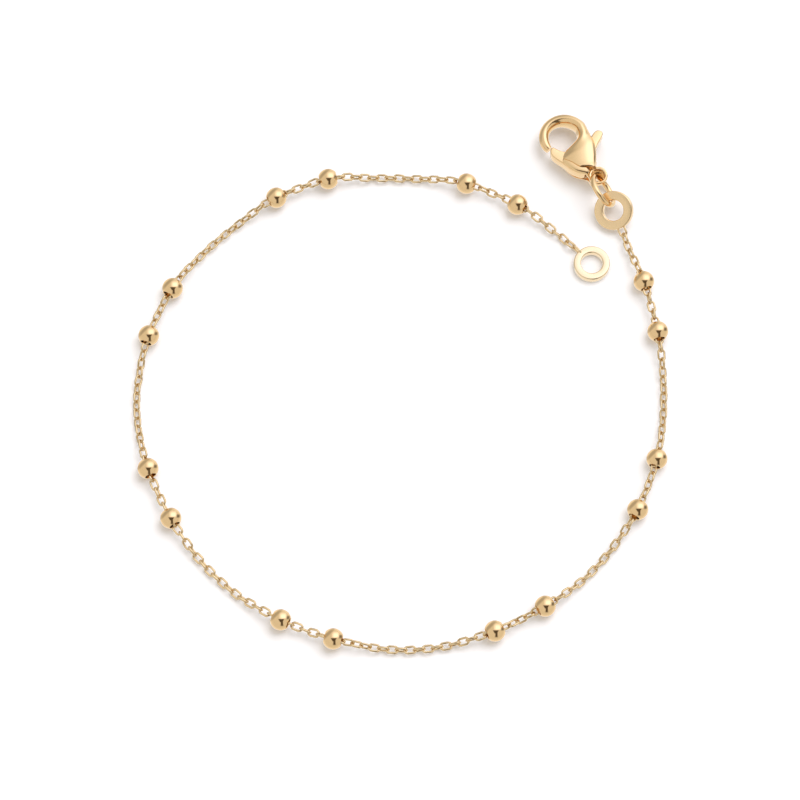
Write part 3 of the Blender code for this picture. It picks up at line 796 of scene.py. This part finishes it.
def clasp_ring_centre():
    normal = CLASP_RING_NORMAL.normalized()
    along = heading(CLASP_RING_TURN_DEG)
    rise = -along.dot(normal) / normal.z
    level = (CLASP_RING_DIAMETER / 2 + LINK_OVERHANG) / (1 + rise * rise) ** 0.5
    slope = Vector((normal.x, normal.y)).length
    height = CLASP_RING_DIAMETER / 2 * slope + CLASP_RING_THICKNESS / 2 * normal.z + FLOOR_GAP
    return Vector((ROUTE[-1].x, ROUTE[-1].y, 0)) + along * level + Vector((0, 0, height))


def make_clasp_ring(gold, link_gold):
    normal = CLASP_RING_NORMAL.normalized()
    toward = -heading(CLASP_RING_TURN_DEG)
    toward.z = -toward.dot(normal) / normal.z
    frame = frame_at(clasp_ring_centre(), toward, normal)
    profile = washer_profile(CLASP_RING_DIAMETER, CLASP_RING_HOLE, CLASP_RING_THICKNESS, RING_EDGE_ROUND)
    washer = revolved("clasp_washer", profile, RING_SIDES, frame)
    reach = CLASP_RING_DIAMETER / 2 + LINK_OVERHANG
    link = soldered_link(frame @ Matrix.Translation((reach, 0, 0)))
    mesh = combined(washer, link, "UNION")
    smooth(mesh)
    ring = add_piece("clasp_washer", mesh, gold)
    gild_link(ring, frame.translation, (CLASP_RING_DIAMETER + CLASP_RING_THICKNESS / 2) / 2, link_gold)
    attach(ring, "bracelet")
    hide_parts("clasp_ring")


def jump_ring_centre():
    spot = clasp_ring_centre() + heading(JUMP_RING_REACH_TURN_DEG) * JUMP_RING_REACH
    radius = (JUMP_RING_DIAMETER - JUMP_RING_WIRE) / 2
    spot.z = radius * sin(radians(JUMP_RING_LEAN_DEG)) + JUMP_RING_WIRE / 2 + FLOOR_GAP
    return spot


def make_jump_ring(gold):
    along = heading(JUMP_RING_TURN_DEG)
    lean = radians(JUMP_RING_LEAN_DEG)
    flat = Vector((0, 0, 1)).cross(along)
    upward = flat * -cos(lean) + Vector((0, 0, sin(lean)))
    frame = frame_at(jump_ring_centre(), along, along.cross(upward))
    radius = (JUMP_RING_DIAMETER - JUMP_RING_WIRE) / 2
    profile = []
    for step in range(JUMP_RING_WIRE_SIDES):
        angle = -2 * pi * step / JUMP_RING_WIRE_SIDES
        profile.append((radius + JUMP_RING_WIRE / 2 * cos(angle), JUMP_RING_WIRE / 2 * sin(angle)))
    mesh = revolved("wire_ring", profile, JUMP_RING_SIDES, frame)
    smooth(mesh)
    ring = add_piece("wire_ring", mesh, gold)
    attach(ring, "bracelet")
    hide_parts("jump_ring")


def clasp_frame():
    eye = jump_ring_centre() + heading(CLASP_REACH_TURN_DEG) * CLASP_REACH
    place = Matrix.Translation((eye.x, eye.y, CLASP_HEIGHT / 2))
    return place @ Matrix.Rotation(radians(CLASP_TURN_DEG), 4, "Z")


def rounded_half(width, height, power):
    """Upper half of a rounded section, from its right end over the top to its left end."""
    half = []
    for step in range(SECTION_POINTS):
        angle = pi * step / (SECTION_POINTS - 1)
        across = abs(cos(angle)) ** (2 / power) * width / 2
        upright = abs(sin(angle)) ** (2 / power) * height / 2
        half.append((across if step * 2 < SECTION_POINTS else -across, upright))
    return half


def full_ring(middle, direction, half, frame):
    """Ring of points of a section from its upper half, mirrored below."""
    below = [(across, -upright) for across, upright in half[-2:0:-1]]
    ring = []
    for across, upright in half + below:
        spot = middle + direction * across
        ring.append(frame @ Vector((spot.x, spot.y, upright)))
    return ring


def hook_sections(frame):
    centre = Vector((HOOK_OFFSET, BODY_LENGTH))
    sections = []
    for station in between(HOOK, STATION_STEPS):
        angle = radians(station.angle_deg)
        direction = Vector((cos(angle), sin(angle)))
        middle = centre + direction * HOOK_RADIUS * station.radius
        half = rounded_half(HOOK_WIDTH * station.width, CLASP_HEIGHT * station.height, HOOK_POWER)
        sections.append(full_ring(middle, direction, half, frame))
    return sections


def dome_half(station):
    """Upper half of the body's section: side wall, shoulder, ridge, long slope, sharp left edge."""
    left = station.left * BODY_WIDTH
    right = station.right * BODY_WIDTH
    ridge = station.ridge * BODY_WIDTH
    top = (station.height - 0.5) * CLASP_HEIGHT
    crease = (station.crease - 0.5) * CLASP_HEIGHT
    edge = top * RIGHT_EDGE
    half = []
    slope_end = SECTION_POINTS - LEFT_EDGE_POINTS
    for step in range(SECTION_POINTS):
        if step < WALL_POINTS:
            share = step / WALL_POINTS
            half.append((right + RIGHT_FLARE * (1 - share * share), edge * share))
        elif step < SHOULDER_END:
            share = (SHOULDER_END - step) / (SHOULDER_END - WALL_POINTS)
            fall = (1 - share**SHOULDER_POWER) ** (1 / SHOULDER_POWER)
            half.append((ridge + (right - ridge) * share, edge + (top - edge) * fall))
        elif step < slope_end:
            share = (step - SHOULDER_END) / (slope_end - 1 - SHOULDER_END)
            height = top - (top - crease) * share**RIDGE_POWER
            half.append((ridge + (left - ridge) * share, height))
        else:
            share = (SECTION_POINTS - 1 - step) / LEFT_EDGE_POINTS
            half.append((left, crease * share))
    return half


def body_sections(frame):
    sections = []
    for station in between(BODY, STATION_STEPS):
        centre = (station.left + station.right) / 2 * BODY_WIDTH
        width = (station.right - station.left) * BODY_WIDTH
        plain = rounded_half(width, CLASP_HEIGHT * station.height, BODY_POWER)
        half = []
        for (plain_x, plain_z), (dome_x, dome_z) in zip(plain, dome_half(station)):
            across = (plain_x + centre) * (1 - station.dome) + dome_x * station.dome
            half.append((across, plain_z * (1 - station.dome) + dome_z * station.dome))
        middle = Vector((0, station.along * BODY_LENGTH))
        sections.append(full_ring(middle, Vector((1, 0)), half, frame))
    return sections


def lobe_mesh(frame, side):
    """Sloping skirt below the dome's left edge, on the front (side 1) or the back (side -1)."""
    sections = []
    for station in between(LOBE, STATION_STEPS):
        inner = Vector((station.in_across, station.in_along)) * BODY_LENGTH
        outer = Vector((station.out_across, station.out_along)) * BODY_LENGTH
        top = (station.top - 0.5) * CLASP_HEIGHT
        edge = (station.edge - 0.5) * CLASP_HEIGHT
        floor = (station.floor - 0.5) * CLASP_HEIGHT
        ring = []
        for step in range(ROUND_STEPS + 1):
            share = step / ROUND_STEPS
            spot = inner.lerp(outer, sin(share * pi / 2))
            ring.append((spot, edge + (top - edge) * cos(share * pi / 2)))
        ring.append((outer, floor))
        ring.append((inner, floor))
        sections.append([frame @ Vector((spot.x, spot.y, side * z)) for spot, z in ring])
    return lofted("lobe", sections)


def prism_mesh(name, outline, low, high, frame):
    sections = []
    for height in (low, high):
        sections.append([frame @ Vector((x, y, height)) for x, y in outline])
    return lofted(name, sections)


def neck_mesh(frame, sector):
    """Sector of a flat ring about the eye, on the body's side."""
    arc = []
    for step in range(NECK_STEPS + 1):
        share = step / NECK_STEPS
        angle = radians(sector.start_deg * (1 - share) + sector.end_deg * share)
        arc.append(Vector((cos(angle), sin(angle))) * MM / 2)
    outline = [spot * sector.width for spot in arc]
    outline += [spot * sector.hole for spot in reversed(arc)]
    return prism_mesh("neck", outline, sector.floor * MM, sector.top * MM, frame)


def make_clasp_body(gold):
    frame = clasp_frame()
    body = lofted("clasp_case", hook_sections(frame) + body_sections(frame))
    slot = [(corner.across * BODY_LENGTH, corner.along * BODY_LENGTH) for corner in SLOT]
    cutter = prism_mesh("slot", slot, -SLOT_HEIGHT / 2, SLOT_HEIGHT / 2, frame)
    body = combined(body, cutter, "DIFFERENCE")
    body = combined(body, lobe_mesh(frame, 1), "UNION")
    body = combined(body, lobe_mesh(frame, -1), "UNION")
    profile = washer_profile(EYE_DIAMETER, EYE_HOLE, EYE_THICKNESS, EYE_ROUND)
    eye = combined(revolved("eye", profile, EYE_SIDES, frame), neck_mesh(frame, NECK_WALL), "UNION")
    eye = combined(eye, neck_mesh(frame, NECK_SHELF), "UNION")
    body = combined(body, eye, "UNION")
    smooth(body)
    case = add_piece("clasp_case", body, gold)
    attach(case, "bracelet")
    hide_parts("clasp_body")


def lever_outline():
    """Smooth closed outline through the lever's corners."""
    corners = [Vector((corner.across, corner.along)) * BODY_LENGTH for corner in LEVER]
    count = len(corners)
    outline = []
    for row in range(count):
        p0, p1, p2, p3 = [corners[(row + shift) % count] for shift in (-1, 0, 1, 2)]
        for step in range(LEVER_CURVE_STEPS):
            t = step / LEVER_CURVE_STEPS
            linear = p2 - p0
            square = 2 * p0 - 5 * p1 + 4 * p2 - p3
            cube = 3 * p1 - p0 - 3 * p2 + p3
            outline.append(p1 + (linear + (square + cube * t) * t) * t / 2)
    return outline


def inset(outline, distance):
    """Outline moved inwards by a distance."""
    result = []
    count = len(outline)
    for row in range(count):
        edge = outline[(row + 1) % count] - outline[row - 1]
        inward = Vector((-edge.y, edge.x)).normalized()
        result.append(outline[row] + inward * distance)
    return result


def make_clasp_lever(gold):
    frame = clasp_frame()
    half = LEVER_THICKNESS / 2
    outline = lever_outline()
    rows = []
    for step in range(ROUND_STEPS + 1):
        angle = pi / 2 * step / ROUND_STEPS
        depth = LEVER_EDGE_ROUND * (1 - cos(angle))
        rows.append((inset(outline, depth), half - LEVER_EDGE_ROUND * (1 - sin(angle))))
    rows = [(row, -height) for row, height in reversed(rows)] + rows
    sections = [[frame @ Vector((p.x, p.y, height)) for p in row] for row, height in rows]
    mesh = lofted("clasp_trigger", sections)
    smooth(mesh)
    trigger = add_piece("clasp_trigger", mesh, gold)
    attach(trigger, "lever")
    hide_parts("clasp_lever")


def gold_material(name, finish):
    """Solid gold: a fine grain and a faint drift of colour and gloss."""
    material = bpy.data.materials.new(name)
    material.use_nodes = True
    tree = material.node_tree
    metal = tree.nodes["Principled BSDF"]
    metal.inputs["Metallic"].default_value = 1.0
    metal.inputs["Base Color"].default_value = (*finish.tint, 1)
    metal.inputs["Roughness"].default_value = finish.roughness
    place = add_node(tree, "ShaderNodeTexCoord")
    drift = add_node(tree, "ShaderNodeTexNoise")
    drift.inputs["Scale"].default_value = TINT_DRIFT_SCALE
    drift.inputs["Detail"].default_value = TINT_DRIFT_DETAIL
    tree.links.new(place.outputs["Object"], drift.inputs["Vector"])
    shade = add_node(tree, "ShaderNodeMapRange")
    shade.inputs["To Min"].default_value, shade.inputs["To Max"].default_value = TINT_DRIFT
    tree.links.new(drift.outputs[0], shade.inputs["Value"])
    mix = add_node(tree, "ShaderNodeVectorMath", operation="SCALE")
    mix.inputs[0].default_value = finish.tint
    tree.links.new(shade.outputs[0], mix.inputs["Scale"])
    tree.links.new(mix.outputs[0], metal.inputs["Base Color"])
    scratch = add_node(tree, "ShaderNodeTexNoise")
    scratch.inputs["Scale"].default_value = GRAIN_SCALE
    scratch.inputs["Detail"].default_value = GRAIN_DETAIL
    tree.links.new(place.outputs["Object"], scratch.inputs["Vector"])
    gloss = add_node(tree, "ShaderNodeMapRange")
    gloss.inputs["To Min"].default_value = finish.roughness * GLOSS_DRIFT[0]
    gloss.inputs["To Max"].default_value = finish.roughness * GLOSS_DRIFT[1]
    tree.links.new(scratch.outputs[0], gloss.inputs["Value"])
    tree.links.new(gloss.outputs[0], metal.inputs["Roughness"])
    bump = add_node(tree, "ShaderNodeBump")
    bump.inputs["Strength"].default_value = finish.grain
    bump.inputs["Distance"].default_value = GRAIN_DEPTH
    tree.links.new(scratch.outputs[0], bump.inputs["Height"])
    tree.links.new(bump.outputs[0], metal.inputs["Normal"])
    return material


def make_floor():
    """White card under the bracelet, tinted warm: in its shadows that tint is painted warm bounce light
    from the gold, while the lit card still shows white. The gold doesn't mirror it: the tent's paper
    stands for it.
    """
    half = FLOOR_SIZE / 2
    points = [(-half, -half, 0), (half, -half, 0), (half, half, 0), (-half, half, 0)]
    mesh = bpy.data.meshes.new("floor")
    mesh.from_pydata(points, [], [(0, 1, 2, 3)])
    material = bpy.data.materials.new("white_card")
    material.use_nodes = True
    card = material.node_tree.nodes["Principled BSDF"]
    # Warm tint of card and glow: painted warm bounce light in the card's shadows
    card.inputs["Base Color"].default_value = BACKDROP_TINT_PAINTED_BOUNCE
    card.inputs["Roughness"].default_value = 1.0
    card.inputs["Specular IOR Level"].default_value = 0.0
    card.inputs["Emission Color"].default_value = BACKDROP_TINT_PAINTED_BOUNCE
    card.inputs["Emission Strength"].default_value = BACKDROP_GLOW
    floor = add_piece("floor", mesh, material)
    floor.visible_glossy = False


def make_lamp():
    """Soft window light that draws the shadows; the gold doesn't mirror it."""
    data = bpy.data.lights.new("window", "SUN")
    data.energy = LAMP_STRENGTH
    data.angle = radians(LAMP_SPREAD_DEG)
    lamp = bpy.data.objects.new("window", data)
    lamp.rotation_euler = LAMP_FROM.to_track_quat("Z", "Y").to_euler()
    lamp.visible_glossy = False
    bpy.context.scene.collection.objects.link(lamp)


def make_world():
    """White tent: a softbox above and behind, a dark camera stand in front, seams at the sides
    and pale paper low all round.

    Everything is placed by where it mirrors on a ball: across and up, as seen from the place of
    the photo's camera. It stays there when the view changes.
    """
    world = bpy.data.worlds.new("studio")
    bpy.context.scene.world = world
    world.use_nodes = True
    tree = world.node_tree
    light = tree.nodes["Background"]
    place = add_node(tree, "ShaderNodeTexCoord")
    elevation = radians(CAMERA_ELEVATION_DEG)
    toward = Vector((0, -cos(elevation), sin(elevation)))
    upward = Vector((0, sin(elevation), cos(elevation)))
    halfway = add_node(tree, "ShaderNodeVectorMath", operation="ADD")
    tree.links.new(place.outputs["Generated"], halfway.inputs[0])
    halfway.inputs[1].default_value = toward
    facing = add_node(tree, "ShaderNodeVectorMath", operation="NORMALIZE")
    tree.links.new(halfway.outputs[0], facing.inputs[0])

    def along(source, axis):
        node = add_node(tree, "ShaderNodeVectorMath", operation="DOT_PRODUCT")
        tree.links.new(source, node.inputs[0])
        node.inputs[1].default_value = axis
        return node.outputs["Value"]

    def ramp(value, low, high):
        node = add_node(tree, "ShaderNodeMapRange", interpolation_type="SMOOTHSTEP")
        tree.links.new(value, node.inputs["Value"])
        node.inputs["From Min"].default_value = low
        node.inputs["From Max"].default_value = high
        return node.outputs[0]

    def both(first, *others):
        for other in others:
            first = maths(tree, "MULTIPLY", first, other)
        return first

    def off(value, middle):
        return maths(tree, "ABSOLUTE", maths(tree, "SUBTRACT", value, middle))

    across = along(facing.outputs[0], Vector((1, 0, 0)))
    up = along(facing.outputs[0], upward)
    box = both(
        ramp(across, *BOX_LEFT), ramp(across, *BOX_RIGHT), ramp(up, *BOX_LOW), ramp(up, *BOX_HIGH)
    )
    taper = maths(tree, "MULTIPLY", up, BAR_TAPER)
    bar_side = maths(tree, "SUBTRACT", off(across, BAR_MIDDLE), taper)
    bar = both(ramp(bar_side, *BAR_SIDE), ramp(up, *BAR_HIGH), ramp(up, *BAR_LOW))
    stem = both(
        ramp(off(across, STEM_MIDDLE), *STEM_SIDE), ramp(up, *STEM_HIGH), ramp(up, *STEM_LOW)
    )
    foot = both(
        ramp(off(across, STEM_MIDDLE), *FOOT_SIDE), ramp(up, *FOOT_HIGH), ramp(up, *FOOT_LOW)
    )
    stand = maths(tree, "MAXIMUM", maths(tree, "MAXIMUM", bar, stem), both(foot, FOOT_DARK))
    slant = along(facing.outputs[0], (upward - Vector((1, 0, 0))).normalized())
    seam = both(ramp(slant, *SEAM_INNER), ramp(slant, *SEAM_OUTER), SEAM_DARK)
    gap = both(ramp(off(across, GAP_ACROSS), *GAP_SIDE), ramp(off(up, GAP_UP), *GAP_SIDE), GAP_DARK)
    shade = maths(tree, "MAXIMUM", seam, gap)
    cloth = maths(tree, "MULTIPLY", maths(tree, "SUBTRACT", 1.0, shade), TENT_STRENGTH)
    paper = both(ramp(along(facing.outputs[0], toward), *PAPER_DEPTH), PAPER_GLOW)
    tent = maths(tree, "ADD", cloth, paper)

    glow = add_node(tree, "ShaderNodeVectorMath", operation="SCALE")
    glow.inputs[0].default_value = BOX_LIGHT
    tree.links.new(box, glow.inputs["Scale"])
    walls = add_node(tree, "ShaderNodeVectorMath", operation="SCALE")
    walls.inputs[0].default_value = TENT_LIGHT
    tree.links.new(tent, walls.inputs["Scale"])
    lit = add_node(tree, "ShaderNodeVectorMath", operation="ADD")
    tree.links.new(glow.outputs[0], lit.inputs[0])
    tree.links.new(walls.outputs[0], lit.inputs[1])
    seen = add_node(tree, "ShaderNodeMix", data_type="RGBA")
    tree.links.new(maths(tree, "MULTIPLY", stand, STAND_DARK), seen.inputs["Factor"])
    tree.links.new(lit.outputs[0], seen.inputs["A"])
    seen.inputs["B"].default_value = STAND_TINT
    tree.links.new(seen.outputs["Result"], light.inputs["Color"])
    light.inputs["Strength"].default_value = 1.0


def make_camera():
    elevation = radians(CAMERA_ELEVATION_DEG)
    data = bpy.data.cameras.new("camera")
    data.sensor_width = CAMERA_SENSOR_MM
    data.lens = CAMERA_SENSOR_MM * CAMERA_DISTANCE / CAMERA_FIELD
    data.clip_start, data.clip_end = CAMERA_CLIP
    camera = bpy.data.objects.new("camera", data)
    bpy.context.scene.collection.objects.link(camera)
    back = Vector((0, -cos(elevation), sin(elevation)))
    camera.location = CAMERA_TARGET + back * CAMERA_DISTANCE
    camera.rotation_euler = (pi / 2 - elevation, 0, 0)
    bpy.context.scene.camera = camera


def main():
    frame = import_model()
    bpy.context.scene.view_settings.view_transform = "Standard"
    make_camera()
    make_world()
    make_lamp()
    make_floor()
    polished = gold_material("polished_gold", POLISHED)
    cast = gold_material("cast_gold", CAST)
    pale = gold_material("pale_gold", PALE)
    satin = gold_material("satin_gold", SATIN)
    drawn = gold_material("drawn_gold", DRAWN)
    line, rolls, distances, bead_rows = chain_path()
    make_beads(line, bead_rows, polished)
    make_chain(line, rolls, distances, drawn)
    make_end_ring(pale, drawn)
    make_clasp_ring(satin, drawn)
    make_jump_ring(polished)
    make_clasp_body(cast)
    make_clasp_lever(cast)
    pin = frame["nodes"]["clasp_pin"]
    pin.data.materials.clear()
    pin.data.materials.append(polished)


main()
